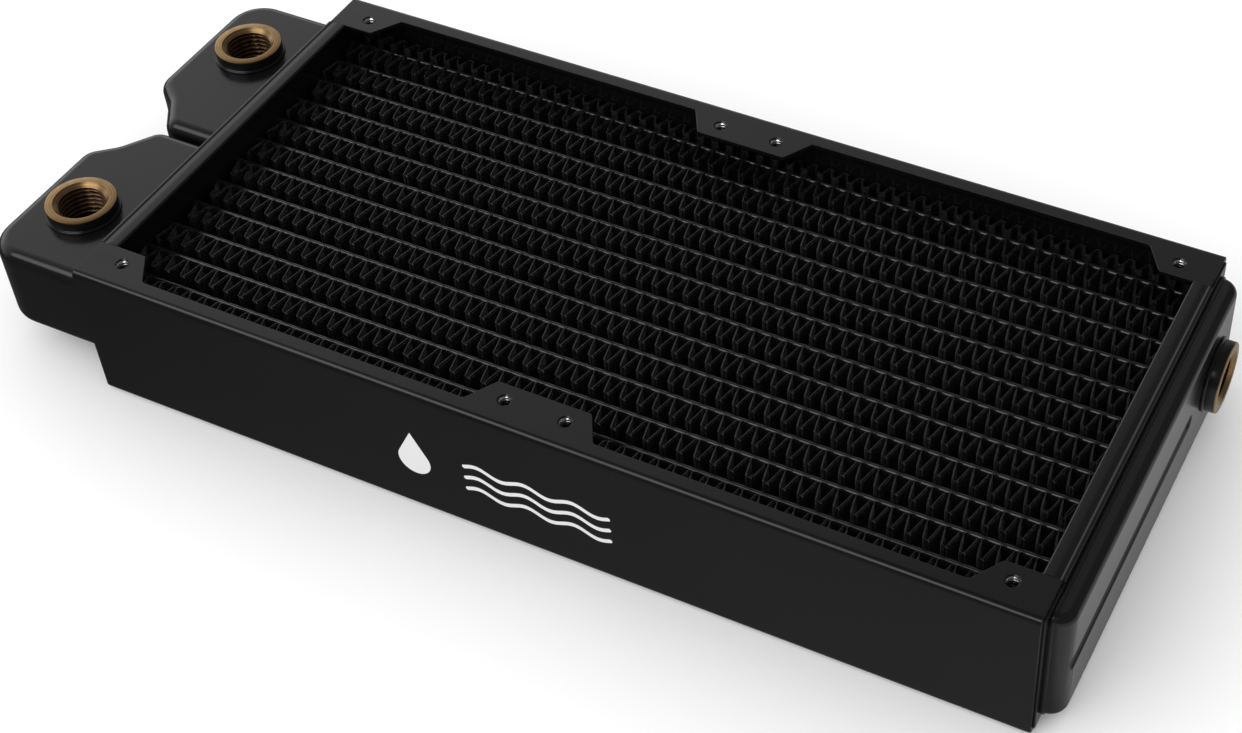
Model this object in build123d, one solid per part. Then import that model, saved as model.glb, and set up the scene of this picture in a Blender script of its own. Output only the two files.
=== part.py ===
from build123d import *
import os

# Liquid cooling radiator for two 120 mm fans, lengths in millimetres.
# +X runs along the core from the two-port end to the return end, +Y runs from the front
# panel to the rear panel, and +Z points up. The origin is the centre of the fan hole grid,
# on the underside of the bottom flanges.

# Casing of folded steel sheet
CASING_LENGTH = 244.0
CASING_WIDTH = 120.0
CASING_HEIGHT = 39.0
SHEET = 1.2
BEND_RADIUS = 1.6
FLANGE_WIDTH = 4.4
TAB_DEPTH = 12.0
TAB_CORNER_RADIUS = 1.0
FIT_GAP = 0.1
LIP_GAP = 0.05

# Fan hole grid, tapped for UNC 6-32 screws
FAN_HOLE_SPACING = 105.0
FAN_PITCH = 120.5
SCREW_BORE_RADIUS = 1.42
SCREW_COLLAR_RADIUS = 2.5
SCREW_THREAD_LENGTH = 3.0

# Core: flat tubes with corrugated fin strips between them
TUBE_COUNT = 13
TUBE_PITCH = 9.0
TUBE_THICKNESS = 2.0
TUBE_DEPTH = 19.0
TUBE_WALL = 0.25
SLOT_CLEARANCE = 0.05
FIN_DEPTH = 21.6
FIN_PERIOD = 4.2
FIN_PERIODS = 57
FIN_FOLD_THICKNESS = 0.42
FIN_CONTACT_GAP = 0.02

# End frames: a folded rail inside and a header plate outside
RAIL_INNER_EDGE = 117.5
RAIL_OUTER_FACE = 121.25
RAIL_BEND_RADIUS = 1.4
HEADER_INNER_FACE = 121.3
HEADER_OUTER_FACE = 122.5
HEADER_EDGE_RADIUS = 0.5

# Pressed brass tanks
TANK_WALL = 1.0
TANK_EDGE_RADIUS = 3.3
PORT_TANK_HEIGHT = 24.0
PORT_TANK_END = 155.5
PORT_TANK_OUTER_SIDE = 56.0
PORT_TANK_INNER_SIDE = 0.8
RETURN_TANK_HEIGHT = 33.2
RETURN_TANK_WIDTH = 112.4
RETURN_TANK_END = 127.4
RETURN_TANK_CORNER_RADIUS = 4.4
RETURN_TANK_EDGE_RADIUS = 2.2
MOUTH_FLANGE_SHEET = 0.9
MOUTH_FLANGE_LIP = 0.4
GROOVE_RADIUS = 3.2
GROOVE_DEPTH = 1.1
GROOVE_FROM_Y = -52.0
GROOVE_TO_Y = 22.5

# G1/4 port bushings
PORT_X = -140.3
PORT_Y = 34.9
RETURN_PORT_Y = 40.3
BUSHING_RADIUS = 8.8
BUSHING_FOOT_RADIUS = 9.3
BUSHING_FOOT_HEIGHT = 0.6
BUSHING_STANDOUT = 3.4
BUSHING_NECK_RADIUS = 7.9
PORT_BUSHING_LENGTH = 9.0
RETURN_BUSHING_LENGTH = 6.2
PORT_BORE_RADIUS = 5.75
PORT_CHAMFER = 1.0

MID_Z = CASING_HEIGHT / 2
PANEL_INNER_FACE = CASING_WIDTH / 2 - SHEET
TAB_EDGE = CASING_WIDTH / 2 - TAB_DEPTH
END_FRAME_HALF_WIDTH = PANEL_INNER_FACE - FIT_GAP
LIP_HALF_WIDTH = TAB_EDGE - LIP_GAP
# Trims are made on shapes that run this far past the cut.
OVERRUN = 12.0


def span_box(x_range, y_range, z_range):
    """Box between two corners given as (low, high) pairs."""
    sizes = [high - low for low, high in (x_range, y_range, z_range)]
    low_corner = Pos(x_range[0], y_range[0], z_range[0])
    return low_corner * Box(*sizes, align=(Align.MIN, Align.MIN, Align.MIN))


def export_node(solid, name):
    solid.label = name
    export_step(solid, os.path.join("parts", name + ".step"))


def fan_hole_centres():
    """Plan positions of the holes along one flange, as x values."""
    half = FAN_HOLE_SPACING / 2
    return [side * FAN_PITCH / 2 + hole * half for side in (-1, 1) for hole in (-1, 1)]


# ---------------------------------------------------------------- casing panels

def channel_section(depth, height, bend_radius):
    """C-section of folded sheet in its own XY plane: web on the right, open to the left."""
    outer = Pos(-depth / 2, 0) * Rectangle(depth, height)
    outer = fillet(outer.vertices().group_by(Axis.X)[-1], bend_radius)
    inner_height = height - 2 * SHEET
    inner = Pos(-depth / 2 - SHEET, 0) * Rectangle(depth, inner_height)
    inner = fillet(inner.vertices().group_by(Axis.X)[-1], bend_radius - SHEET)
    return outer - inner


def panel_plan():
    """Plan outline of a panel: a narrow flange that widens into tabs at the screw holes."""
    end = CASING_LENGTH / 2
    outer = CASING_WIDTH / 2
    narrow = outer - FLANGE_WIDTH
    corner_tab = [(109.3, TAB_EDGE), (104.4, narrow)]
    middle_tab = [(16.5, narrow), (12.0, TAB_EDGE)]
    right_half = [(end, outer), (end, TAB_EDGE)] + corner_tab + middle_tab
    left_half = [(-x, y) for x, y in reversed(right_half)]
    plan = make_face(Polyline(*right_half, *left_half, close=True))
    inside_corners = [v for v in plan.vertices() if abs(v.X) < end - 1]
    return fillet(inside_corners, TAB_CORNER_RADIUS)


def screw_collar(x, y, bottom_z):
    """Metal drawn down round a screw hole to give the thread its length."""
    length = SCREW_THREAD_LENGTH - SHEET
    collar = Cylinder(SCREW_COLLAR_RADIUS, length, align=(Align.CENTER, Align.CENTER, Align.MIN))
    return Pos(x, y, bottom_z) * collar


def side_panel():
    """Rear side panel: a folded channel with screw tabs on its top and bottom flanges."""
    section = Pos(CASING_WIDTH / 2, MID_Z) * channel_section(TAB_DEPTH, CASING_HEIGHT, BEND_RADIUS)
    channel = extrude(Plane.YZ * section, amount=CASING_LENGTH / 2, both=True)
    panel = channel & extrude(panel_plan(), amount=CASING_HEIGHT)
    hole_y = FAN_HOLE_SPACING / 2
    collar_length = SCREW_THREAD_LENGTH - SHEET
    for x in fan_hole_centres():
        panel += screw_collar(x, hole_y, SHEET)
        panel += screw_collar(x, hole_y, CASING_HEIGHT - SHEET - collar_length)
    for x in fan_hole_centres():
        panel -= Pos(x, hole_y, MID_Z) * Cylinder(SCREW_BORE_RADIUS, CASING_HEIGHT + 2)
    return panel


# ---------------------------------------------------------------- core

def tube_centres():
    first = -(TUBE_COUNT - 1) / 2 * TUBE_PITCH
    return [first + TUBE_PITCH * i for i in range(TUBE_COUNT)]


def tube_section(growth):
    """Flat tube section with round noses, made larger all round by growth."""
    return SlotOverall(TUBE_DEPTH + 2 * growth, TUBE_THICKNESS + 2 * growth, rotation=90)


def flat_tube(y):
    """Hollow tube whose ends are flush with the outer faces of the header plates."""
    wall = tube_section(0) - tube_section(-TUBE_WALL)
    return extrude(Plane.YZ * Pos(y, MID_Z) * wall, amount=HEADER_OUTER_FACE, both=True)


def cut_tube_slots(plate):
    """Cut the row of tube slots through an end frame plate."""
    for y in tube_centres():
        slot = Plane.YZ * Pos(y, MID_Z) * tube_section(SLOT_CLEARANCE)
        plate -= extrude(slot, amount=CASING_LENGTH, both=True)
    return plate


def fin_spaces():
    """Low and high y of every space between neighbouring tubes or a tube and a panel."""
    half = TUBE_THICKNESS / 2
    walls = [-PANEL_INNER_FACE]
    for y in tube_centres():
        walls += [y - half, y + half]
    walls.append(PANEL_INNER_FACE)
    return list(zip(walls[0::2], walls[1::2]))


def fin_strip(y_low, y_high):
    """Corrugated fin strip that fills the space from y_low to y_high."""
    top = y_high - FIN_CONTACT_GAP
    bottom = y_low + FIN_CONTACT_GAP + FIN_FOLD_THICKNESS
    start = -FIN_PERIODS * FIN_PERIOD / 2
    folds = range(2 * FIN_PERIODS + 1)
    outer = [(start + i * FIN_PERIOD / 2, top if i % 2 else bottom) for i in folds]
    inner = [(x, y - FIN_FOLD_THICKNESS) for x, y in reversed(outer)]
    ribbon = make_face(Polyline(*outer, *inner, close=True))
    return Pos(0, 0, MID_Z - FIN_DEPTH / 2) * extrude(ribbon, amount=FIN_DEPTH)


# ---------------------------------------------------------------- end frames

def web_plate(inner_x, outer_x):
    """Upright plate that passes under the corner tabs of the side panels."""
    z_range = (SHEET + FIT_GAP, CASING_HEIGHT - SHEET - FIT_GAP)
    y_range = (-END_FRAME_HALF_WIDTH, END_FRAME_HALF_WIDTH)
    return span_box((inner_x, outer_x), y_range, z_range)


def frame_rail():
    """Right-hand rail: a channel whose lips close the casing between the corner tabs."""
    depth = RAIL_OUTER_FACE - RAIL_INNER_EDGE
    section = Pos(RAIL_OUTER_FACE, MID_Z) * channel_section(depth, CASING_HEIGHT, RAIL_BEND_RADIUS)
    lips = extrude(Plane.XZ * section, amount=LIP_HALF_WIDTH, both=True)
    return cut_tube_slots(lips + web_plate(RAIL_OUTER_FACE - SHEET, RAIL_OUTER_FACE))


def header_plate():
    """Right-hand header plate, which the tube ends pass through into the tank."""
    x_range = (HEADER_INNER_FACE, HEADER_OUTER_FACE)
    middle = span_box(x_range, (-LIP_HALF_WIDTH, LIP_HALF_WIDTH), (0, CASING_HEIGHT))
    long_edges = middle.edges().filter_by(Axis.Y)
    middle = fillet(long_edges, HEADER_EDGE_RADIUS)
    return cut_tube_slots(middle + web_plate(*x_range))


# ---------------------------------------------------------------- tanks

def port_tank_plan():
    """Plan outline of the rear port tank, run past its mouth for a later trim."""
    mouth = -HEADER_OUTER_FACE + OVERRUN
    plan = make_face(Polyline(
        (mouth, PORT_TANK_INNER_SIDE),
        (-143.0, PORT_TANK_INNER_SIDE),
        (-149.2, 10.0),
        (-PORT_TANK_END, 15.4),
        (-PORT_TANK_END, PORT_TANK_OUTER_SIDE),
        (mouth, PORT_TANK_OUTER_SIDE),
        close=True,
    ))
    for corner, radius in (((-143.0, PORT_TANK_INNER_SIDE), 4.6), ((-149.2, 10.0), 9.0),
                           ((-PORT_TANK_END, 15.4), 5.5), ((-PORT_TANK_END, PORT_TANK_OUTER_SIDE), 9.5)):
        plan = fillet(plan.vertices().sort_by_distance(corner)[0], radius)
    return plan


def rounded_slab(plan, height, edge_radius, mouth_x):
    """Plan outline given height about the middle plane, rounded along every rim edge but the mouth's."""
    slab = extrude(Pos(0, 0, MID_Z) * plan, amount=height / 2, both=True)
    rims = slab.edges().group_by(Axis.Z)
    rim_edges = [e for e in rims[0] + rims[-1] if abs(e.center().X - mouth_x) > 0.01]
    return fillet(rim_edges, edge_radius)


def port_tank():
    """Rear port tank: a deep-drawn shell, open at its mouth, with a hole for the bushing."""
    plan = port_tank_plan()
    mouth_x = -HEADER_OUTER_FACE + OVERRUN
    outer = rounded_slab(plan, PORT_TANK_HEIGHT, TANK_EDGE_RADIUS, mouth_x)
    inner_plan = offset(plan, -TANK_WALL, kind=Kind.INTERSECTION)
    inner_height = PORT_TANK_HEIGHT - 2 * TANK_WALL
    inner = rounded_slab(inner_plan, inner_height, TANK_EDGE_RADIUS - TANK_WALL, mouth_x - TANK_WALL)
    past_mouth = span_box((-HEADER_OUTER_FACE, 0), (-CASING_WIDTH, CASING_WIDTH), (-1, CASING_HEIGHT + 1))
    hole = Pos(PORT_X, PORT_Y, CASING_HEIGHT) * Cylinder(BUSHING_NECK_RADIUS + SLOT_CLEARANCE, CASING_HEIGHT)
    return outer - inner - past_mouth - hole


def return_tank_block(shrink):
    """Solid outer form of the return tank, made smaller all round by shrink."""
    mouth = HEADER_OUTER_FACE - OVERRUN
    end = RETURN_TANK_END - shrink
    half_width = RETURN_TANK_WIDTH / 2 - shrink
    corners = [(mouth, -half_width), (end, -half_width), (end, half_width), (mouth, half_width)]
    plan = make_face(Polyline(*corners, close=True))
    plan = fillet(plan.vertices().group_by(Axis.X)[-1], RETURN_TANK_CORNER_RADIUS - shrink)
    return rounded_slab(plan, RETURN_TANK_HEIGHT - 2 * shrink, RETURN_TANK_EDGE_RADIUS - shrink, mouth)


def groove_bar(radius):
    """Round bar with ball ends, lying along the pressed groove in the return tank."""
    axis_x = RETURN_TANK_END - GROOVE_DEPTH + GROOVE_RADIUS
    length = GROOVE_TO_Y - GROOVE_FROM_Y
    bar = Pos(axis_x, (GROOVE_FROM_Y + GROOVE_TO_Y) / 2, MID_Z) * Rot(90, 0, 0) * Cylinder(radius, length)
    for y in (GROOVE_FROM_Y, GROOVE_TO_Y):
        bar += Pos(axis_x, y, MID_Z) * Sphere(radius)
    return bar


def mouth_flange():
    """Thin flange round the mouth of the return tank, lying on the header plate."""
    width = RETURN_TANK_WIDTH + 2 * MOUTH_FLANGE_LIP
    height = RETURN_TANK_HEIGHT + 2 * MOUTH_FLANGE_LIP
    rim = RectangleRounded(width, height, RETURN_TANK_EDGE_RADIUS + MOUTH_FLANGE_LIP)
    return extrude(Plane.YZ.offset(HEADER_OUTER_FACE) * Pos(0, MID_Z) * rim, amount=MOUTH_FLANGE_SHEET)


def return_tank():
    """Shallow return tank across the far end, with a pressed groove and one port hole."""
    cavity = return_tank_block(TANK_WALL) - groove_bar(GROOVE_RADIUS + TANK_WALL)
    shell = return_tank_block(0) + mouth_flange() - cavity - groove_bar(GROOVE_RADIUS)
    before_mouth = span_box((0, HEADER_OUTER_FACE), (-CASING_WIDTH, CASING_WIDTH), (-1, CASING_HEIGHT + 1))
    hole = Cylinder(BUSHING_NECK_RADIUS + SLOT_CLEARANCE, CASING_HEIGHT)
    return shell - before_mouth - Pos(RETURN_TANK_END, RETURN_PORT_Y, MID_Z) * Rot(0, 90, 0) * hole


# ---------------------------------------------------------------- port bushings

def port_bushing(length):
    """Threaded bushing standing on z = 0, with its neck reaching down through the tank wall."""
    upward = (Align.CENTER, Align.CENTER, Align.MIN)
    downward = (Align.CENTER, Align.CENTER, Align.MAX)
    head = Cylinder(BUSHING_RADIUS, BUSHING_STANDOUT, align=upward)
    head = chamfer(head.edges().sort_by(Axis.Z)[-1], 0.3)
    foot = Cylinder(BUSHING_FOOT_RADIUS, BUSHING_FOOT_HEIGHT, align=upward)
    neck = Cylinder(BUSHING_NECK_RADIUS, length - BUSHING_STANDOUT, align=downward)
    bore = Cylinder(PORT_BORE_RADIUS, 4 * length)
    mouth = Cone(PORT_BORE_RADIUS, PORT_BORE_RADIUS + PORT_CHAMFER, PORT_CHAMFER, align=downward)
    return head + foot + neck - bore - Pos(0, 0, BUSHING_STANDOUT) * mouth


# ---------------------------------------------------------------- the assembly

def build_parts():
    os.makedirs("parts", exist_ok=True)

    panel = side_panel()
    export_node(panel, "side_panel_rear")
    export_node(mirror(panel, about=Plane.XZ), "side_panel_front")

    for number, y in enumerate(tube_centres(), start=1):
        export_node(flat_tube(y), f"flat_tube_{number:02d}")
    for number, (y_low, y_high) in enumerate(fin_spaces(), start=1):
        export_node(fin_strip(y_low, y_high), f"fin_strip_{number:02d}")

    rail = frame_rail()
    export_node(rail, "frame_rail_right")
    export_node(mirror(rail, about=Plane.YZ), "frame_rail_left")
    header = header_plate()
    export_node(header, "header_plate_right")
    export_node(mirror(header, about=Plane.YZ), "header_plate_left")

    tank = port_tank()
    export_node(tank, "port_tank_rear")
    export_node(mirror(tank, about=Plane.XZ), "port_tank_front")
    export_node(return_tank(), "return_tank")

    tank_top = MID_Z + PORT_TANK_HEIGHT / 2
    bushing = port_bushing(PORT_BUSHING_LENGTH)
    export_node(Pos(PORT_X, PORT_Y, tank_top) * bushing, "port_bushing_rear")
    export_node(Pos(PORT_X, -PORT_Y, tank_top) * bushing, "port_bushing_front")
    return_place = Pos(RETURN_TANK_END, RETURN_PORT_Y, MID_Z) * Rot(0, 90, 0)
    export_node(return_place * port_bushing(RETURN_BUSHING_LENGTH), "port_bushing_return")


build_parts()
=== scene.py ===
import bpy
import bmesh
import math
import random
from mathutils import Matrix, Vector
from mathutils.geometry import delaunay_2d_cdt


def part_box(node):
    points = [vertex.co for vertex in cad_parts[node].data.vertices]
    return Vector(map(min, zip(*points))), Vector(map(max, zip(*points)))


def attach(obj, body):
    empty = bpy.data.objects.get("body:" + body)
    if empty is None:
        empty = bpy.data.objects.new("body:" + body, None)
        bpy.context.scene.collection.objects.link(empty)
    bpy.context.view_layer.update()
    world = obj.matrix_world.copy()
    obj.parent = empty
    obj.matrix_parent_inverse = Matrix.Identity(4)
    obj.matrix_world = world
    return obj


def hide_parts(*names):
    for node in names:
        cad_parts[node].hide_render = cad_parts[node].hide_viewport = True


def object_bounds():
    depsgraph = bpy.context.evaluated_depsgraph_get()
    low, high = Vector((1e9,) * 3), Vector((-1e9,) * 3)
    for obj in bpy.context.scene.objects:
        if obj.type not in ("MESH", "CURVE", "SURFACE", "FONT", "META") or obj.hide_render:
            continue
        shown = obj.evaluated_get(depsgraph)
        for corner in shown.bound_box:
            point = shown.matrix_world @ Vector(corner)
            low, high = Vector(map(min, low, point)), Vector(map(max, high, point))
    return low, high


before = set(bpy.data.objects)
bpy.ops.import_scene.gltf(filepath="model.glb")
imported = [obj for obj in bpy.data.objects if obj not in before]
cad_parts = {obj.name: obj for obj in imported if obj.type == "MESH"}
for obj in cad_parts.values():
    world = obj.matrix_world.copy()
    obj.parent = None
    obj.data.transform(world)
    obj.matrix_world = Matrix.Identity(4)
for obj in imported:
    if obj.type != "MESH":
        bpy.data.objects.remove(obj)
cad_low, cad_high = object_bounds()

# Sizes are in metres, like everything in this scene; MM turns millimetres into metres.
MM = 0.001

# Sheet metal and pressed parts
WELD_DISTANCE = 0.0002 * MM
SHEET_EDGE_ROUND = 0.16 * MM
RAIL_EDGE_ROUND = 0.5 * MM
LIP_HALF_WIDTH = 48.0 * MM

# Section of the painted solder between a rail and its header plate: how far beyond the rail's
# outer face, and how deep below the casing's face
SEAM_SECTION = [(outward * MM, depth * MM) for outward, depth in (
    (-1.3, 0.005), (-0.9, 0.03), (-0.45, 0.09), (-0.05, 0.14), (0.15, 0.13), (0.3, 0.08),
    (0.42, 0.04), (0.42, 1.0), (-0.8, 1.0))]
BODY_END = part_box("side_panel_front")[1].x

# Screw holes, tapped for 6-32 screws
FAN_HOLE_HALF_SPACING = 52.5 * MM
FAN_HALF_PITCH = 60.25 * MM
SCREW_BORE_RADIUS = 1.42 * MM
SCREW_MOUTH_RADIUS = 1.78 * MM
SCREW_THREAD_PITCH = 0.794 * MM
SCREW_THREAD_DEPTH = 0.3 * MM
SCREW_ROWS_PER_TURN = 8

# G1/4 ports
PORT_BORE_RADIUS = 5.75 * MM
PORT_MOUTH_RADIUS = 6.75 * MM
PORT_THREAD_PITCH = 1.337 * MM
PORT_THREAD_DEPTH = 0.8 * MM
PORT_ROWS_PER_TURN = 14
PORT_COLUMNS = 112
PORT_HEAD_RADIUS = 8.8 * MM
PORT_NECK_RADIUS = 7.9 * MM
PORT_STANDOUT = 3.4 * MM
PORT_FOOT_HEIGHT = 0.6 * MM

# Corrugated fins
FIN_PERIOD = 4.2 * MM
FIN_SHEET = 0.14 * MM
FIN_FOLD_RADIUS = 0.36 * MM
FIN_FOLD_STEPS = 6
FIN_MARGIN = 0.55 * MM
FIN_MIDDLE_FLAT = 1.4 * MM
LOUVRES_PER_HALF = 10
LOUVRE_SLOPE = 0.62
LOUVRE_SPAN = (0.14, 0.22, 0.78, 0.86)
FIN_JITTER = 0.16 * MM
TUBE_NOSE_HEIGHT = 1.9 * MM
TUBE_NOSE_STEPS = 14

# Printed mark on the front panel: a drop and three flow lines
DROP_CENTRE = (-30.0 * MM, 16.3 * MM)
DROP_RADIUS = 4.3 * MM
DROP_TIP = 9.2 * MM
FLOW_LINE_RANGE = (-16.0 * MM, 21.0 * MM)
FLOW_LINE_HEIGHTS = (13.3 * MM, 17.0 * MM, 20.7 * MM)
FLOW_LINE_THICKNESS = 1.2 * MM
FLOW_WAVE_HEIGHT = 0.9 * MM
FLOW_WAVE_LENGTH = 12.4 * MM


# Studio. Radiances are in scene units, and angles are leftward from +Y or upward from the horizon.
SURROUND_RADIANCE = 1.06
KEY_LEFT_RISE = (math.radians(-5.0), math.radians(50.0))
KEY_FRONT_FALL = (math.radians(80.0), math.radians(130.0))
KEY_HEIGHT_FALL = (math.radians(18.0), math.radians(64.0))
KEY_RADIANCE = 1.25
DIM_RADIANCE = 0.1
SOFTBOX_PLACE = (-0.46, -0.80, 0.92)
SOFTBOX_SIZE = (1.2, 0.6)
SOFTBOX_RADIANCE = 2.2

# Radiance of the glow that the paint mirrors in place of the floor, a painted reflection, from the left end along,
# and past the right end
FLOOR_REFLECTION_GLOW = (0.08, 0.23)
FLOOR_REFLECTION_GLOW_PAST_END = 0.5


# ---------------------------------------------------------------- node helpers

class Shader:
    """A material's node tree, built one node at a time."""

    def __init__(self, name):
        self.material = bpy.data.materials.new(name)
        self.material.use_nodes = True
        self.tree = self.material.node_tree
        self.tree.nodes.clear()
        self.output = self.node("ShaderNodeOutputMaterial")

    def node(self, kind, inputs=None, **settings):
        """Adds a node; an input is a value or another node's output socket."""
        made = self.tree.nodes.new(kind)
        for name, value in settings.items():
            setattr(made, name, value)
        for name, value in (inputs or {}).items():
            if isinstance(value, bpy.types.NodeSocket):
                self.tree.links.new(value, made.inputs[name])
            else:
                made.inputs[name].default_value = value
        return made

    def position(self):
        return self.node("ShaderNodeTexCoord").outputs["Object"]

    def noise(self, scale, detail=2.0, roughness=0.5, vector=None):
        inputs = {"Scale": scale, "Detail": detail, "Roughness": roughness}
        inputs["Vector"] = vector or self.position()
        return self.node("ShaderNodeTexNoise", inputs).outputs["Fac"]

    def remap(self, value, low, high, to_low, to_high):
        inputs = {"Value": value, "From Min": low, "From Max": high, "To Min": to_low, "To Max": to_high}
        return self.node("ShaderNodeMapRange", inputs).outputs["Result"]

    def math(self, operation, first, second=0.0):
        made = self.node("ShaderNodeMath", {0: first, 1: second}, operation=operation)
        return made.outputs["Value"]

    def mix_colour(self, factor, first, second):
        made = self.node("ShaderNodeMix", data_type="RGBA")
        for socket, value in ((made.inputs[0], factor), (made.inputs[6], first), (made.inputs[7], second)):
            if isinstance(value, bpy.types.NodeSocket):
                self.tree.links.new(value, socket)
            else:
                socket.default_value = value
        return made.outputs[2]

    def bump(self, height, distance, strength, normal=None):
        inputs = {"Height": height, "Distance": distance, "Strength": strength}
        if normal:
            inputs["Normal"] = normal
        return self.node("ShaderNodeBump", inputs).outputs["Normal"]

    def surface(self, **inputs):
        """Ends the tree in a Principled shader and returns the material."""
        named = {name.replace("_", " "): value for name, value in inputs.items()}
        principled = self.node("ShaderNodeBsdfPrincipled", named)
        self.tree.links.new(principled.outputs[0], self.output.inputs["Surface"])
        return self.material


def grey(value, tint=(1.0, 1.0, 1.0)):
    return (value * tint[0], value * tint[1], value * tint[2], 1.0)


# ---------------------------------------------------------------- materials

PAINT_TINT = (1.0, 0.97, 1.04)


def black_paint(name, base, roughness, peel_strength):
    """Satin black powder coat: orange peel, fine grain, and slow changes in sheen."""
    shader = Shader(name)
    broad = shader.noise(22.0, 3.0)
    grain = shader.noise(6500.0, 2.0)
    peel = shader.noise(1300.0, 2.0, 0.45)
    tone = shader.remap(broad, 0.3, 0.7, 0.0, 1.0)
    colour = shader.mix_colour(tone, grey(base * 0.85, PAINT_TINT), grey(base * 1.2, PAINT_TINT))
    sheen = shader.math("ADD", shader.remap(broad, 0.3, 0.7, -0.025, 0.025),
                        shader.remap(grain, 0.3, 0.7, roughness - 0.035, roughness + 0.035))
    normal = shader.bump(peel, 0.03 * MM, peel_strength)
    normal = shader.bump(grain, 0.006 * MM, 0.35, normal)
    return shader.surface(Base_Color=colour, Roughness=sheen, Normal=normal, IOR=1.5)


def fin_paint():
    """Thin black coat on copper fins: uneven sheen, with a few lighter specks."""
    shader = Shader("fin_paint")
    patches = shader.noise(900.0, 3.0, 0.7)
    specks = shader.noise(1500.0, 1.0)
    base = shader.mix_colour(shader.remap(patches, 0.35, 0.65, 0.0, 1.0), grey(0.004), grey(0.02))
    # Scattered specks where the base colour is lighter.
    lighter_specks = shader.remap(specks, 0.74, 0.8, 0.0, 0.7)
    colour = shader.mix_colour(lighter_specks, base, (0.14, 0.12, 0.105, 1.0))
    sheen = shader.remap(patches, 0.3, 0.7, 0.22, 0.38)
    normal = shader.bump(shader.noise(2600.0, 2.0), 0.02 * MM, 0.3)
    return shader.surface(Base_Color=colour, Roughness=sheen, Normal=normal, IOR=1.6)


def fold_shade_paint():
    """Darker, matt coat on the folds, where the fins are soldered to the tubes: painted shade in these creases."""
    shader = Shader("fold_shade_paint")
    crust = shader.noise(1400.0, 3.0, 0.7)
    # Painted shade: the folds are coloured darker than the fin walls.
    base = shader.mix_colour(shader.remap(crust, 0.4, 0.65, 0.0, 1.0), grey(0.002), grey(0.009))
    sheen = shader.remap(crust, 0.3, 0.7, 0.35, 0.6)
    normal = shader.bump(crust, 0.05 * MM, 0.4)
    return shader.surface(Base_Color=base, Roughness=sheen, Normal=normal, IOR=1.45)


def tube_paint():
    """Black coat on the flat tubes, run a little thick along the noses."""
    shader = Shader("tube_paint")
    runs = shader.noise(420.0, 3.0, 0.6)
    base = shader.mix_colour(runs, grey(0.003), grey(0.009))
    sheen = shader.remap(runs, 0.3, 0.7, 0.12, 0.2)
    normal = shader.bump(shader.noise(1500.0, 2.0), 0.03 * MM, 0.3)
    return shader.surface(Base_Color=base, Roughness=sheen, Normal=normal, IOR=1.6)


def machined_brass():
    """Lathe-turned brass: fine rings round the port's own axis, and slight tarnish."""
    shader = Shader("machined_brass")
    place = shader.position()
    tarnish = shader.noise(420.0, 4.0, 0.6, place)
    rings = shader.node("ShaderNodeTexWave", {
        "Vector": place, "Scale": 420.0, "Distortion": 0.6, "Detail": 2.0, "Detail Scale": 3.0,
    }, wave_type="RINGS", rings_direction="Z").outputs["Fac"]
    base = shader.mix_colour(tarnish, (0.36, 0.225, 0.1, 1.0), (0.2, 0.115, 0.05, 1.0))
    colour = shader.mix_colour(shader.remap(rings, 0.0, 1.0, 0.0, 0.25), base, (0.62, 0.44, 0.23, 1.0))
    sheen = shader.remap(tarnish, 0.3, 0.7, 0.24, 0.4)
    normal = shader.bump(rings, 0.012 * MM, 0.35)
    return shader.surface(Base_Color=colour, Metallic=1.0, Roughness=sheen, Normal=normal)


def shaded_brass_thread():
    """Tapped thread inside a port, with painted shade: coloured much darker than the outer ring."""
    shader = Shader("shaded_brass_thread")
    film = shader.noise(700.0, 3.0)
    # Painted shade: the brass inside the bore is coloured darker than the ring at its mouth.
    colour = shader.mix_colour(film, (0.08, 0.045, 0.024, 1.0), (0.17, 0.105, 0.058, 1.0))
    sheen = shader.remap(film, 0.3, 0.7, 0.25, 0.42)
    return shader.surface(Base_Color=colour, Metallic=1.0, Roughness=sheen)


def steel_with_painted_shade():
    """Freshly tapped steel in the screw holes, with painted shade: bright near the faces, near black further in."""
    shader = Shader("steel_with_painted_shade")
    marks = shader.noise(3500.0, 3.0)
    place = shader.node("ShaderNodeSeparateXYZ", {"Vector": shader.position()})
    middle_z = (cad_low.z + cad_high.z) / 2
    from_middle = shader.math("ABSOLUTE", shader.math("SUBTRACT", place.outputs["Z"], middle_z))
    half_height = (cad_high.z - cad_low.z) / 2
    # Painted shade: the steel's colour falls to near black deeper than about 1-2 mm inside the hole.
    clear_of_painted_shade = shader.remap(from_middle, half_height - 1.9 * MM, half_height - 0.9 * MM, 0.0, 1.0)
    colour = shader.mix_colour(clear_of_painted_shade, grey(0.03), shader.mix_colour(marks, grey(0.7), grey(0.95)))
    sheen = shader.remap(marks, 0.3, 0.7, 0.12, 0.26)
    return shader.surface(Base_Color=colour, Metallic=1.0, Roughness=sheen)


def printed_ink():
    """White screen-print ink with a faint grain."""
    shader = Shader("printed_ink")
    grain = shader.noise(4200.0, 3.0)
    colour = shader.mix_colour(grain, grey(0.62), grey(0.8))
    normal = shader.bump(grain, 0.01 * MM, 0.4)
    return shader.surface(Base_Color=colour, Roughness=0.55, Normal=normal)


casing_paint = black_paint("casing_paint_finish", 0.003, 0.21, 0.12)
tank_paint = black_paint("tank_paint_finish", 0.004, 0.2, 0.1)
port_paint = black_paint("port_paint_finish", 0.003, 0.22, 0.08)
fin_finish = fin_paint()
fold_shade_finish = fold_shade_paint()
tube_finish = tube_paint()
brass_finish = machined_brass()
shaded_thread_finish = shaded_brass_thread()
shaded_steel_finish = steel_with_painted_shade()
ink_finish = printed_ink()


# ---------------------------------------------------------------- piece helpers

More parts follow.
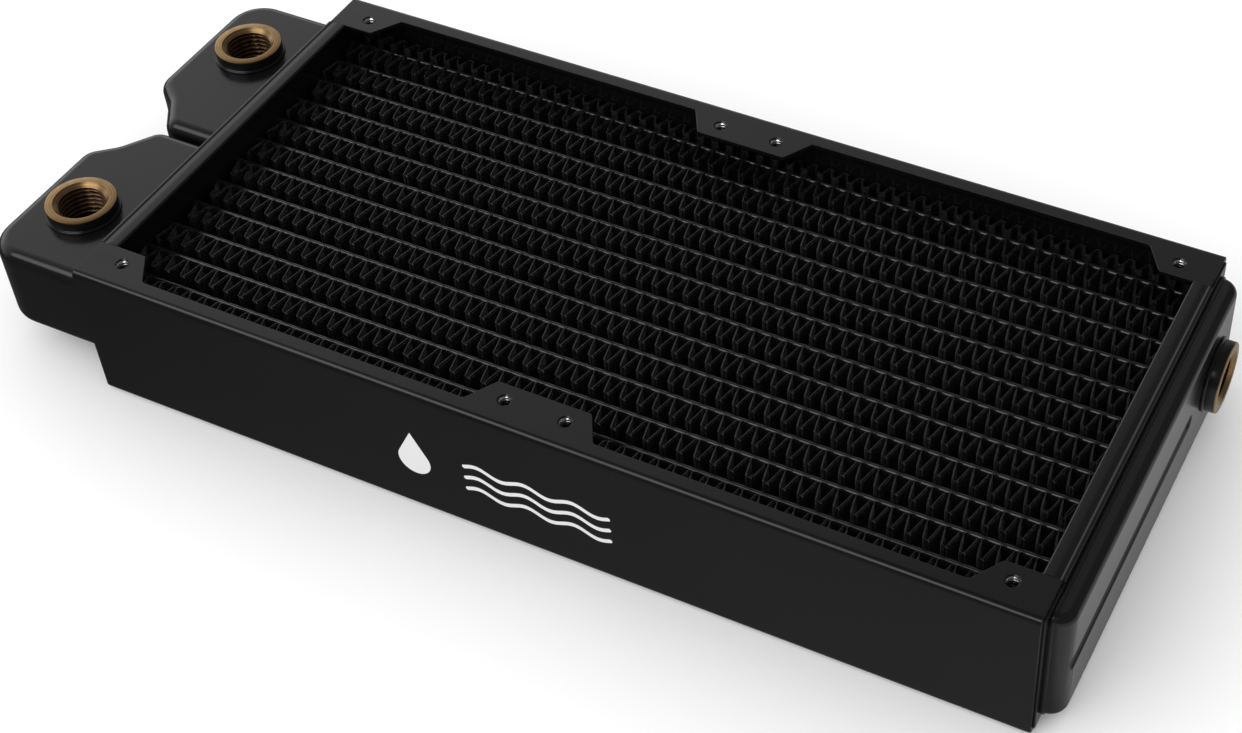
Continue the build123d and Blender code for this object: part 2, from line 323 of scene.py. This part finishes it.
def add_piece(name, mesh, materials, nodes, place=None, smooth_angle=40.0):
    """Makes the object for a finished mesh, which stands for the named CAD nodes."""
    for material in materials:
        mesh.materials.append(material)
    mesh.polygons.foreach_set("use_smooth", [True] * len(mesh.polygons))
    mesh.set_sharp_from_angle(angle=math.radians(smooth_angle))
    piece = bpy.data.objects.new(name, mesh)
    bpy.context.scene.collection.objects.link(piece)
    if place:
        piece.matrix_world = place
    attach(piece, "root")
    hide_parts(*nodes)
    return piece


def mesh_from_bmesh(name, bm):
    mesh = bpy.data.meshes.new(name)
    bm.normal_update()
    bm.to_mesh(mesh)
    bm.free()
    return mesh


def weight_normals(piece):
    """Keeps the broad flat faces flat in shading beside the small rounded edges."""
    modifier = piece.modifiers.new("flat_faces", "WEIGHTED_NORMAL")
    modifier.keep_sharp = True
    modifier.weight = 100


def cad_copy(node):
    """bmesh of a CAD node with its split corners joined and its flat faces made whole."""
    bm = bmesh.new()
    bm.from_mesh(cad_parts[node].data)
    bmesh.ops.remove_doubles(bm, verts=bm.verts, dist=WELD_DISTANCE)
    bmesh.ops.dissolve_limit(bm, angle_limit=math.radians(0.4), verts=bm.verts, edges=bm.edges)
    return bm


def round_sharp_edges(bm, radius, shortest=0.0, steps=2):
    """Rounds the edges that a folded sheet or a pressing would have been cut to."""
    sharp = [edge for edge in bm.edges
             if len(edge.link_faces) == 2 and edge.calc_face_angle(0.0) > math.radians(50.0)
             and edge.calc_length() > shortest]
    bmesh.ops.bevel(bm, geom=sharp, offset=radius, offset_type="OFFSET", segments=steps,
                    profile=0.5, affect="EDGES", clamp_overlap=False)


def keep_inside(bm, node):
    """Brings any point that a rounded corner has pushed out of the node's own box back onto it."""
    low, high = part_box(node)
    for vert in bm.verts:
        for axis in range(3):
            vert.co[axis] = min(max(vert.co[axis], low[axis]), high[axis])


# ---------------------------------------------------------------- threads

def thread_groove(turn):
    """Depth of a 60 degree groove from 0 to 1 over one turn of the helix."""
    ramp = abs(2.0 * (turn % 1.0) - 1.0)
    return min(1.0, max(0.0, (ramp - 0.14) / 0.72))


def thread_radius(angle, depth_down, length, bore, groove, pitch):
    """Radius of a tapped hole at one point; the groove fades out at both ends."""
    ends = min(depth_down, length - depth_down)
    fade = min(1.0, max(0.0, ends / (0.4 * pitch)))
    turn = depth_down / pitch + angle / (2.0 * math.pi)
    return bore + groove * thread_groove(turn) * fade


def join_rings(bm, upper, lower, material_index=0):
    """Quads between two rings with the same number of points."""
    count = len(upper)
    for i in range(count):
        following = (i + 1) % count
        face = bm.faces.new((upper[i], upper[following], lower[following], lower[i]))
        face.material_index = material_index


# ---------------------------------------------------------------- side panels

def fan_hole_centres(y):
    """Axes of the eight screw holes in one side panel, as plan points."""
    return [(side * FAN_HALF_PITCH + hole * FAN_HOLE_HALF_SPACING, y) for side in (-1, 1) for hole in (-1, 1)]


def bore_faces(bm, centre):
    """Faces of the plain drilled wall round one screw axis, through both flanges."""
    def on_wall(vert):
        distance = math.hypot(vert.co.x - centre[0], vert.co.y - centre[1])
        return abs(distance - SCREW_BORE_RADIUS) < 0.02 * MM
    return [face for face in bm.faces if all(on_wall(vert) for vert in face.verts)]


def ring_at(verts, centre, z):
    """Vertices of one hole rim at height z, in order of angle."""
    ring = [vert for vert in verts if abs(vert.co.z - z) < 0.01 * MM]
    return sorted(ring, key=lambda vert: math.atan2(vert.co.y - centre[1], vert.co.x - centre[0]))


def tap_hole(bm, centre, rim, foot, direction):
    """Fills the wall between a hole's outer rim and its foot with a helical thread."""
    outer_z = rim[0].co.z
    length = abs(foot[0].co.z - outer_z)
    angles = [math.atan2(vert.co.y - centre[1], vert.co.x - centre[0]) for vert in rim]
    for vert, angle in zip(rim, angles):
        vert.co.x = centre[0] + SCREW_MOUTH_RADIUS * math.cos(angle)
        vert.co.y = centre[1] + SCREW_MOUTH_RADIUS * math.sin(angle)
    mouth_depth = SCREW_MOUTH_RADIUS - SCREW_BORE_RADIUS
    thread_length = length - mouth_depth
    rows = round(thread_length / SCREW_THREAD_PITCH * SCREW_ROWS_PER_TURN)
    above = rim
    for row in range(rows):
        depth = thread_length * row / rows
        z = outer_z + direction * (mouth_depth + depth)
        ring = []
        for angle in angles:
            radius = thread_radius(angle * direction, depth, thread_length, SCREW_BORE_RADIUS,
                                   SCREW_THREAD_DEPTH, SCREW_THREAD_PITCH)
            ring.append(bm.verts.new((centre[0] + radius * math.cos(angle),
                                      centre[1] + radius * math.sin(angle), z)))
        join_rings(bm, above, ring, 0 if row == 0 else 1)
        above = ring
    join_rings(bm, above, foot, 1)


def tap_screw_holes(bm, y):
    for centre in fan_hole_centres(y):
        wall = bore_faces(bm, centre)
        verts = {vert for face in wall for vert in face.verts}
        bmesh.ops.delete(bm, geom=wall, context="FACES_ONLY")
        levels = sorted({round(vert.co.z / MM, 2) * MM for vert in verts if vert.is_valid})
        bottom, bottom_foot, top_foot, top = [ring_at(verts, centre, z) for z in levels]
        tap_hole(bm, centre, top, top_foot, -1)
        tap_hole(bm, centre, bottom, bottom_foot, 1)
    stray = [edge for edge in bm.edges if not edge.link_faces]
    bmesh.ops.delete(bm, geom=stray, context="EDGES")


def drop_outline():
    """Outline of a drop: most of a circle, closed by two tangents that meet at a tip."""
    half_opening = math.acos(DROP_RADIUS / DROP_TIP)
    steps = 40
    sweep = 2.0 * (math.pi - half_opening)
    start = math.pi / 2 + half_opening
    points = []
    for i in range(steps + 1):
        angle = start + sweep * i / steps
        points.append((DROP_CENTRE[0] + DROP_RADIUS * math.cos(angle),
                       DROP_CENTRE[1] + DROP_RADIUS * math.sin(angle)))
    return points + [(DROP_CENTRE[0], DROP_CENTRE[1] + DROP_TIP)]


def flow_line_outline(height):
    """Outline of one wavy line with round ends."""
    start, end = FLOW_LINE_RANGE
    half = FLOW_LINE_THICKNESS / 2
    steps = 60

    def middle(x):
        return height + FLOW_WAVE_HEIGHT * math.sin(2.0 * math.pi * (x - start) / FLOW_WAVE_LENGTH)

    stations = [start + (end - start) * i / steps for i in range(steps + 1)]
    lower = [(x, middle(x) - half) for x in stations]
    upper = [(x, middle(x) + half) for x in reversed(stations)]
    caps = []
    for x, first_angle in ((end, -90.0), (start, 90.0)):
        angles = [math.radians(first_angle + 180.0 * i / 8) for i in range(1, 8)]
        caps.append([(x + half * math.cos(a), middle(x) + half * math.sin(a)) for a in angles])
    return lower + caps[0] + upper + caps[1]


def inside(point, outline):
    """Whether a plan point lies inside a closed outline."""
    crossings = False
    for i, (x1, y1) in enumerate(outline):
        x2, y2 = outline[i - 1]
        if (y1 > point[1]) != (y2 > point[1]):
            if point[0] < x1 + (point[1] - y1) * (x2 - x1) / (y2 - y1):
                crossings = not crossings
    return crossings


def print_mark(bm, ink_index):
    """Divides the front face along the printed outlines and inks what lies inside them."""
    front = max((face for face in bm.faces if face.normal.y < -0.99), key=lambda face: face.calc_area())
    rim = list(front.verts)
    outlines = [drop_outline()] + [flow_line_outline(height) for height in FLOW_LINE_HEIGHTS]
    points = [Vector((vert.co.x, vert.co.z)) for vert in rim]
    edges = [(i, (i + 1) % len(rim)) for i in range(len(rim))]
    for outline in outlines:
        first = len(points)
        points += [Vector(point) for point in outline]
        edges += [(first + i, first + (i + 1) % len(outline)) for i in range(len(outline))]
    found = delaunay_2d_cdt(points, edges, [], 1, 1e-7)
    y = rim[0].co.y
    verts = []
    for position, origins in zip(found[0], found[3]):
        shared = [i for i in origins if i < len(rim)]
        verts.append(rim[shared[0]] if shared else bm.verts.new((position.x, y, position.y)))
    bmesh.ops.delete(bm, geom=[front], context="FACES_ONLY")
    for triangle in found[2]:
        face = bm.faces.new([verts[i] for i in triangle])
        centre = face.calc_center_median()
        if any(inside((centre.x, centre.z), outline) for outline in outlines):
            face.material_index = ink_index
    bmesh.ops.recalc_face_normals(bm, faces=bm.faces)


def build_side_panel(side, y_sign):
    """Folded side panel with tapped screw holes; the front one carries the printed mark."""
    node = "side_panel_" + side
    bm = cad_copy(node)
    tap_screw_holes(bm, y_sign * FAN_HOLE_HALF_SPACING)
    bm.normal_update()
    thread_edges = {edge for face in bm.faces if face.material_index == 1 for edge in face.edges}
    sharp = [edge for edge in bm.edges if edge not in thread_edges and len(edge.link_faces) == 2
             and edge.calc_face_angle(0.0) > math.radians(60.0)]
    bmesh.ops.bevel(bm, geom=sharp, offset=SHEET_EDGE_ROUND, offset_type="OFFSET", segments=2,
                    profile=0.5, affect="EDGES", clamp_overlap=False)
    keep_inside(bm, node)
    if side == "front":
        bm.normal_update()
        print_mark(bm, 2)
    mesh = mesh_from_bmesh(node + "_sheet", bm)
    piece = add_piece(node + "_sheet", mesh, [casing_paint, shaded_steel_finish, ink_finish], [node])
    weight_normals(piece)


# ---------------------------------------------------------------- end frames and tanks

def build_cut_edge_piece(node, suffix, material, radius):
    """A CAD node's shape with its cut edges rounded."""
    bm = cad_copy(node)
    round_sharp_edges(bm, radius)
    mesh = mesh_from_bmesh(node + suffix, bm)
    piece = add_piece(node + suffix, mesh, [material], [node])
    weight_normals(piece)


# ---------------------------------------------------------------- port bushings

def add_seam_solder(bm, outer_x, x_sign, face_z, downward):
    """Fills the groove between a rail's bend and its header plate along one face of the casing."""
    ends = []
    for y in (-LIP_HALF_WIDTH, LIP_HALF_WIDTH):
        ends.append([bm.verts.new((outer_x + x_sign * outward, y, face_z - downward * depth))
                     for outward, depth in SEAM_SECTION])
    near, far = ends
    count = len(near)
    made = [bm.faces.new(near), bm.faces.new(far[::-1])]
    for i in range(count):
        after = (i + 1) % count
        made.append(bm.faces.new((near[after], near[i], far[i], far[after])))
    bmesh.ops.recalc_face_normals(bm, faces=made)


def build_rail(side, x_sign):
    """Folded rail with rounded lip edges, soldered to its header plate on both faces."""
    node = "frame_rail_" + side
    low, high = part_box(node)
    outer_x = high.x if x_sign > 0 else low.x
    bm = cad_copy(node)
    round_sharp_edges(bm, RAIL_EDGE_ROUND, shortest=1.8 * LIP_HALF_WIDTH)
    add_seam_solder(bm, outer_x, x_sign, high.z, 1)
    add_seam_solder(bm, outer_x, x_sign, low.z, -1)
    mesh = mesh_from_bmesh(node + "_folded", bm)
    piece = add_piece(node + "_folded", mesh, [casing_paint], [node])
    weight_normals(piece)


def bushing_profile(length):
    """(radius, height, material index) round the outside, from the neck's foot to the bore's mouth."""
    foot_radius = PORT_HEAD_RADIUS + 0.5 * MM
    foot_top = PORT_FOOT_HEIGHT
    top = PORT_STANDOUT
    rounding = 0.12 * MM
    chamfer = 0.3 * MM
    paint, brass = 0, 1
    return [
        (PORT_NECK_RADIUS, top - length, paint),
        (PORT_NECK_RADIUS, 0.0, paint),
        (foot_radius - rounding, 0.0, paint),
        (foot_radius, rounding, paint),
        (foot_radius, foot_top - rounding, paint),
        (foot_radius - rounding, foot_top, paint),
        (PORT_HEAD_RADIUS + rounding, foot_top, paint),
        (PORT_HEAD_RADIUS, foot_top + rounding, paint),
        (PORT_HEAD_RADIUS, top - chamfer, paint),
        (PORT_HEAD_RADIUS - chamfer * 0.3, top - chamfer * 0.3, brass),
        (PORT_HEAD_RADIUS - chamfer, top, brass),
        (PORT_MOUTH_RADIUS + rounding, top, brass),
        (PORT_MOUTH_RADIUS, top - rounding, brass),
    ]


def build_bushing(name, length, place):
    """Port bushing with a real G1/4 thread, built about its own axis with the foot at z = 0."""
    bm = bmesh.new()
    angles = [2.0 * math.pi * i / PORT_COLUMNS for i in range(PORT_COLUMNS)]

    def ring(radii, z):
        return [bm.verts.new((r * math.cos(a), r * math.sin(a), z)) for r, a in zip(radii, angles)]

    profile = bushing_profile(length)
    first = ring([profile[0][0]] * PORT_COLUMNS, profile[0][1])
    below = first
    for radius, z, index in profile[1:]:
        above = ring([radius] * PORT_COLUMNS, z)
        join_rings(bm, below, above, index)
        below = above
    thread_top = PORT_STANDOUT - (PORT_MOUTH_RADIUS - PORT_BORE_RADIUS)
    thread_length = length - (PORT_STANDOUT - thread_top)
    rows = round(thread_length / PORT_THREAD_PITCH * PORT_ROWS_PER_TURN)
    for row in range(rows + 1):
        depth = thread_length * row / rows
        radii = [thread_radius(-a, depth, thread_length, PORT_BORE_RADIUS, PORT_THREAD_DEPTH,
                               PORT_THREAD_PITCH) for a in angles]
        above = ring(radii, thread_top - depth)
        join_rings(bm, below, above, 1 if row == 0 else 2)
        below = above
    join_rings(bm, below, first, 2)
    bmesh.ops.recalc_face_normals(bm, faces=bm.faces)
    mesh = mesh_from_bmesh(name + "_turned", bm)
    add_piece(name + "_turned", mesh, [port_paint, brass_finish, shaded_thread_finish], [name],
              place, smooth_angle=28.0)


def build_port_bushings():
    for side in ("front", "rear"):
        low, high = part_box("port_bushing_" + side)
        centre = (low + high) / 2
        place = Matrix.Translation((centre.x, centre.y, high.z - PORT_STANDOUT))
        build_bushing("port_bushing_" + side, high.z - low.z, place)
    low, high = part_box("port_bushing_return")
    centre = (low + high) / 2
    place = Matrix.Translation((high.x - PORT_STANDOUT, centre.y, centre.z))
    build_bushing("port_bushing_return", high.x - low.x, place @ Matrix.Rotation(math.radians(90.0), 4, "Y"))


# ---------------------------------------------------------------- fins

def fin_apexes(low_x, high_x, rng):
    """Places of the folds along a strip, a little uneven as rolled fin stock is."""
    half_period = FIN_PERIOD / 2
    reach = FIN_FOLD_RADIUS + FIN_SHEET
    x = low_x + reach + rng.uniform(0.0, half_period)
    apexes = []
    while x < high_x - reach:
        apexes.append(x)
        x += half_period + rng.gauss(0.0, FIN_JITTER) * 0.5
    return apexes


def fold_turns(apexes, near_y, far_y, first_is_near):
    """For each fold: its centre, the side its curve turns to, and the wall directions before and after."""
    inset = FIN_FOLD_RADIUS + FIN_SHEET / 2
    centres = []
    for i, x in enumerate(apexes):
        near = (i % 2 == 0) == first_is_near
        centres.append((Vector((x, near_y + inset if near else far_y - inset)), -1.0 if near else 1.0))
    walls = []
    for (start, start_side), (end, _) in zip(centres, centres[1:]):
        gap = end - start
        heading = math.atan2(gap.y, gap.x)
        lean = math.asin(2.0 * FIN_FOLD_RADIUS / gap.length)
        walls.append(heading + lean * (-start_side))
    return centres, walls


def fold_points(centre, side, heading_in, heading_out):
    """Points and normals of the centre line round one fold."""
    made = []
    for step in range(FIN_FOLD_STEPS + 1):
        heading = heading_in + (heading_out - heading_in) * step / FIN_FOLD_STEPS
        left = Vector((-math.sin(heading), math.cos(heading)))
        made.append((centre + left * side * FIN_FOLD_RADIUS, left))
    return made


def louvre_cells(low_z, high_z):
    """(bottom, top, slope) of each band of a fin wall: margins and middle flat, louvres mirrored about the middle."""
    half = (high_z - low_z) / 2
    middle = (high_z + low_z) / 2
    pitch = (half - FIN_MARGIN - FIN_MIDDLE_FLAT / 2) / LOUVRES_PER_HALF
    cells = [(low_z, low_z + FIN_MARGIN, 0.0)]
    for i in range(LOUVRES_PER_HALF):
        bottom = low_z + FIN_MARGIN + i * pitch
        cells.append((bottom, bottom + pitch, LOUVRE_SLOPE))
    cells.append((middle - FIN_MIDDLE_FLAT / 2, middle + FIN_MIDDLE_FLAT / 2, 0.0))
    for i in range(LOUVRES_PER_HALF):
        bottom = middle + FIN_MIDDLE_FLAT / 2 + i * pitch
        cells.append((bottom, bottom + pitch, -LOUVRE_SLOPE))
    cells.append((high_z - FIN_MARGIN, high_z, 0.0))
    return cells


class FinMesh:
    """Collects the points and faces of one fin strip of thin sheet."""

    def __init__(self):
        self.points = []
        self.faces = []
        self.shaded_fold_faces = set()

    def pair(self, centre, normal, z):
        """Two points of the sheet, on its left and right faces; returns their indices."""
        offset = normal * (FIN_SHEET / 2)
        for sign in (1.0, -1.0):
            self.points.append((centre.x + sign * offset.x, centre.y + sign * offset.y, z))
        return len(self.points) - 2, len(self.points) - 1

    def band(self, start_low, start_high, end_low, end_high):
        """Both faces of the sheet between two stations; each argument is a pair of indices."""
        self.faces.append((start_low[0], start_high[0], end_high[0], end_low[0]))
        self.faces.append((start_low[1], end_low[1], end_high[1], start_high[1]))

    def fold_band(self, start_low, start_high, end_low, end_high):
        """A band that belongs to a fold, which carries the darker coat of painted shade."""
        self.shaded_fold_faces.update((len(self.faces), len(self.faces) + 1))
        self.band(start_low, start_high, end_low, end_high)

    def edge(self, start, end, upward):
        """The cut edge of the sheet between two stations."""
        face = (start[0], end[0], end[1], start[1])
        self.faces.append(face[::-1] if upward else face)

    def end(self, low, high, first):
        """Closes the sheet at one end of the strip."""
        face = (low[0], low[1], high[1], high[0])
        self.faces.append(face if first else face[::-1])


def wall_stations(fin, start, heading, length, cells, bulge):
    """Adds the louvred wall after a fold; returns its last pair of index pairs."""
    along = Vector((math.cos(heading), math.sin(heading)))
    normal = Vector((-along.y, along.x))
    low_z, high_z = cells[0][0], cells[-1][1]
    first_share, ramp_in, ramp_out, last_share = LOUVRE_SPAN
    start_pairs = [fin.pair(start + along * length * first_share, normal, z)
                   for z in [low_z] + [cell[1] for cell in cells]]
    end_pairs = [fin.pair(start + along * length * last_share, normal, z)
                 for z in [low_z] + [cell[1] for cell in cells]]
    for i, (bottom, top, slope) in enumerate(cells):
        corners = []
        for z in (bottom, top):
            swing = slope * (z - (bottom + top) / 2)
            near_top = max(0.0, 1.0 - (high_z - z) / (3.0 * MM))
            shift = normal * (swing + bulge * near_top * near_top)
            corners.append([fin.pair(start + along * length * share + shift, normal, z)
                            for share in (ramp_in, ramp_out)])
        low_pairs, high_pairs = corners
        lows = [start_pairs[i]] + low_pairs + [end_pairs[i]]
        highs = [start_pairs[i + 1]] + high_pairs + [end_pairs[i + 1]]
        for j in range(3):
            fin.band(lows[j], highs[j], lows[j + 1], highs[j + 1])
            fin.edge(lows[j], lows[j + 1], upward=False)
            fin.edge(highs[j], highs[j + 1], upward=True)
    return start_pairs, end_pairs


def flat_panel(fin, before, after):
    """Joins a plain low-high station to a louvre boundary column, in either order."""
    if len(before) == 2:
        low, high, column = before[0], before[1], after
        fin.faces.append((low[0], high[0]) + tuple(pair[0] for pair in reversed(column)))
        fin.faces.append((high[1], low[1]) + tuple(pair[1] for pair in column))
        fin.edge(low, column[0], upward=False)
        fin.edge(high, column[-1], upward=True)
    else:
        low, high, column = after[0], after[1], before
        fin.faces.append((high[0], low[0]) + tuple(pair[0] for pair in column))
        fin.faces.append((low[1], high[1]) + tuple(pair[1] for pair in reversed(column)))
        fin.edge(column[0], low, upward=False)
        fin.edge(column[-1], high, upward=True)


def build_fin_strip(number, rng):
    """One corrugated, louvred fin strip in the space of its CAD node."""
    node = f"fin_strip_{number:02d}"
    low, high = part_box(node)
    cells = louvre_cells(low.z, high.z)
    apexes = fin_apexes(low.x, high.x, rng)
    centres, walls = fold_turns(apexes, low.y, high.y, rng.random() < 0.5)
    fin = FinMesh()
    previous = None
    for i, (centre, side) in enumerate(centres):
        heading_in = walls[i - 1] if i > 0 else 0.0
        heading_out = walls[i] if i < len(walls) else 0.0
        curve = fold_points(centre, -side, heading_in, heading_out)
        stations = []
        for point, normal in curve:
            stations.append((fin.pair(point, normal, low.z), fin.pair(point, normal, high.z)))
        if previous is None:
            fin.end(stations[0][0], stations[0][1], first=True)
        else:
            flat_panel(fin, previous, stations[0])
        for (low_a, high_a), (low_b, high_b) in zip(stations, stations[1:]):
            fin.fold_band(low_a, high_a, low_b, high_b)
            fin.edge(low_a, low_b, upward=False)
            fin.edge(high_a, high_b, upward=True)
        if i < len(walls):
            start = curve[-1][0]
            following = centres[i + 1][0]
            gap = (following - centre).length
            length = math.sqrt(gap * gap - 4.0 * FIN_FOLD_RADIUS ** 2)
            dented = rng.random() < 0.035
            bulge = rng.uniform(-0.45, 0.45) * MM if dented else rng.gauss(0.0, 0.05) * MM
            first_column, previous = wall_stations(fin, start, walls[i], length, cells, bulge)
            flat_panel(fin, stations[-1], first_column)
        else:
            fin.end(stations[-1][0], stations[-1][1], first=False)
    mesh = bpy.data.meshes.new(node + "_louvred")
    mesh.from_pydata(fin.points, [], fin.faces)
    # The folds get the darker coat of painted shade.
    for index in fin.shaded_fold_faces:
        mesh.polygons[index].material_index = 1
    mesh.update()
    add_piece(node + "_louvred", mesh, [fin_finish, fold_shade_finish], [node], smooth_angle=50.0)


def build_fins():
    rng = random.Random(240)
    count = sum(1 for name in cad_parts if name.startswith("fin_strip_"))
    for number in range(1, count + 1):
        build_fin_strip(number, rng)


# ---------------------------------------------------------------- tubes

def tube_outline(low, high):
    """Section of a flat tube in y and z, with noses drawn out a little finer than half circles."""
    half = (high.y - low.y) / 2
    middle = (high.y + low.y) / 2
    outline = []
    for nose_z, upward in ((high.z - TUBE_NOSE_HEIGHT, 1.0), (low.z + TUBE_NOSE_HEIGHT, -1.0)):
        for step in range(TUBE_NOSE_STEPS + 1):
            turn = math.pi * step / TUBE_NOSE_STEPS
            outline.append((middle + upward * half * math.cos(turn),
                            nose_z + upward * TUBE_NOSE_HEIGHT * math.sin(turn)))
    return outline


def build_tube(node):
    """One flat tube from end plate to end plate, closed at both ends."""
    low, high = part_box(node)
    outline = tube_outline(low, high)
    count = len(outline)
    points = [(x, y, z) for x in (low.x, high.x) for y, z in outline]
    faces = [(i, (i + 1) % count, count + (i + 1) % count, count + i) for i in range(count)]
    faces.append(tuple(reversed(range(count))))
    faces.append(tuple(range(count, 2 * count)))
    mesh = bpy.data.meshes.new(node + "_drawn")
    mesh.from_pydata(points, [], [face[::-1] for face in faces])
    mesh.update()
    add_piece(node + "_drawn", mesh, [tube_finish], [node], smooth_angle=50.0)


# ---------------------------------------------------------------- the object

def build_radiator():
    build_side_panel("front", -1)
    build_side_panel("rear", 1)
    build_rail("left", -1)
    build_rail("right", 1)
    for side in ("left", "right"):
        build_cut_edge_piece("header_plate_" + side, "_cut", tank_paint, SHEET_EDGE_ROUND)
    for side in ("front", "rear"):
        build_cut_edge_piece("port_tank_" + side, "_drawn", tank_paint, 0.1 * MM)
    build_cut_edge_piece("return_tank", "_pressed", tank_paint, 0.1 * MM)
    build_port_bushings()
    build_fins()
    for name in list(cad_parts):
        if name.startswith("flat_tube_"):
            build_tube(name)


# ---------------------------------------------------------------- floor, light and camera

def glossy_switch(shader, seen_directly, seen_in_gloss):
    """Shows one shader to the camera and to diffuse light, and another in glossy reflections."""
    paths = shader.node("ShaderNodeLightPath")
    blend = shader.node("ShaderNodeMixShader", {0: paths.outputs["Is Glossy Ray"]})
    shader.tree.links.new(seen_directly, blend.inputs[1])
    shader.tree.links.new(seen_in_gloss, blend.inputs[2])
    shader.tree.links.new(blend.outputs[0], shader.output.inputs["Surface"])


def build_floor():
    """Pale floor, which mirrors as a grey glow set along its length: a painted reflection of a table edge that the
    key light doesn't reach.
    """
    mesh = bpy.data.meshes.new("floor")
    size = 6.0
    mesh.from_pydata([(-size, -size, 0.0), (size, -size, 0.0), (size, size, 0.0), (-size, size, 0.0)],
                     [], [(0, 1, 2, 3)])
    floor = bpy.data.objects.new("floor", mesh)
    floor.location.z = -0.0002
    bpy.context.scene.collection.objects.link(floor)
    shader = Shader("floor_paper")
    tone = shader.mix_colour(shader.noise(3.0, 2.0), grey(0.9), grey(0.93))
    paper = shader.node("ShaderNodeBsdfPrincipled", {"Base Color": tone, "Roughness": 0.9})
    place = shader.node("ShaderNodeSeparateXYZ", {"Vector": shader.position()})
    along = shader.remap(place.outputs["X"], cad_low.x, BODY_END, *FLOOR_REFLECTION_GLOW)
    past_end = shader.remap(place.outputs["X"], BODY_END - 5 * MM, BODY_END + 15 * MM, 0.0, 1.0)
    brightness = shader.math("MAXIMUM", along, shader.math("MULTIPLY", past_end, FLOOR_REFLECTION_GLOW_PAST_END))
    # Painted reflection: a glow that only glossy rays see, brighter towards the right end.
    painted_reflection = shader.node("ShaderNodeEmission", {"Color": grey(1.0), "Strength": brightness})
    glossy_switch(shader, paper.outputs[0], painted_reflection.outputs[0])
    mesh.materials.append(shader.material)


def build_world():
    """Even pale surround, with the dark ceiling and the broad back-left light that the paint mirrors."""
    world = bpy.data.worlds.new("studio")
    bpy.context.scene.world = world
    world.use_nodes = True
    shader = Shader.__new__(Shader)
    shader.tree = world.node_tree
    shader.tree.nodes.clear()
    shader.output = shader.node("ShaderNodeOutputWorld")
    surround = shader.node("ShaderNodeBackground", {"Color": grey(1.0), "Strength": SURROUND_RADIANCE})
    direction = shader.node("ShaderNodeTexCoord").outputs["Generated"]
    parts = shader.node("ShaderNodeSeparateXYZ", {"Vector": direction})
    across = shader.math("MULTIPLY", parts.outputs["X"], -1.0)
    leftward = shader.math("ARCTAN2", across, parts.outputs["Y"])
    height = shader.math("ARCSINE", parts.outputs["Z"])
    rise = shader.remap(leftward, *KEY_LEFT_RISE, 0.0, 1.0)
    fall = shader.remap(leftward, *KEY_FRONT_FALL, 1.0, 0.0)
    upward = shader.remap(height, *KEY_HEIGHT_FALL, KEY_RADIANCE, 0.0)
    key = shader.math("MULTIPLY", shader.math("MULTIPLY", rise, fall), upward)
    mirrored = shader.math("ADD", key, DIM_RADIANCE)
    studio = shader.node("ShaderNodeBackground", {"Color": grey(1.0), "Strength": mirrored})
    glossy_switch(shader, surround.outputs[0], studio.outputs[0])


def add_softbox(name, location, target, size, radiance):
    """Rectangular area light whose brightness is given as its own radiance."""
    light = bpy.data.lights.new(name, "AREA")
    light.shape = "RECTANGLE"
    light.size, light.size_y = size
    light.energy = radiance * math.pi * size[0] * size[1]
    lamp = bpy.data.objects.new(name, light)
    lamp.location = location
    aim = Vector(target) - Vector(location)
    lamp.rotation_euler = aim.to_track_quat("-Z", "Y").to_euler()
    bpy.context.scene.collection.objects.link(lamp)


def build_lights():
    build_world()
    add_softbox("front_softbox", SOFTBOX_PLACE, (0.0, 0.0, 0.0), SOFTBOX_SIZE, SOFTBOX_RADIANCE)


def build_camera():
    """Camera at the place, turn and lens shift worked out for the photograph's view."""
    data = bpy.data.cameras.new("camera")
    camera = bpy.data.objects.new("camera", data)
    bpy.context.scene.collection.objects.link(camera)
    azimuth, elevation, roll = math.radians(26.506), math.radians(44.839), math.radians(1.098)
    back = Vector((math.sin(azimuth) * math.cos(elevation), -math.cos(azimuth) * math.cos(elevation),
                   math.sin(elevation)))
    turn = (-back).to_track_quat("-Z", "Y").to_matrix().to_4x4()
    place = Matrix.Translation((0.200707, -0.326937, 0.392192))
    camera.matrix_world = place @ turn @ Matrix.Rotation(-roll, 4, "Z")
    data.sensor_width = 36.0
    data.lens = 64.16
    data.shift_x = -0.13865
    data.shift_y = -0.02009
    data.clip_start = 0.01
    data.clip_end = 20.0
    bpy.context.scene.camera = camera
    bpy.context.scene.view_settings.view_transform = "Standard"


build_radiator()
build_floor()
build_lights()
build_camera()
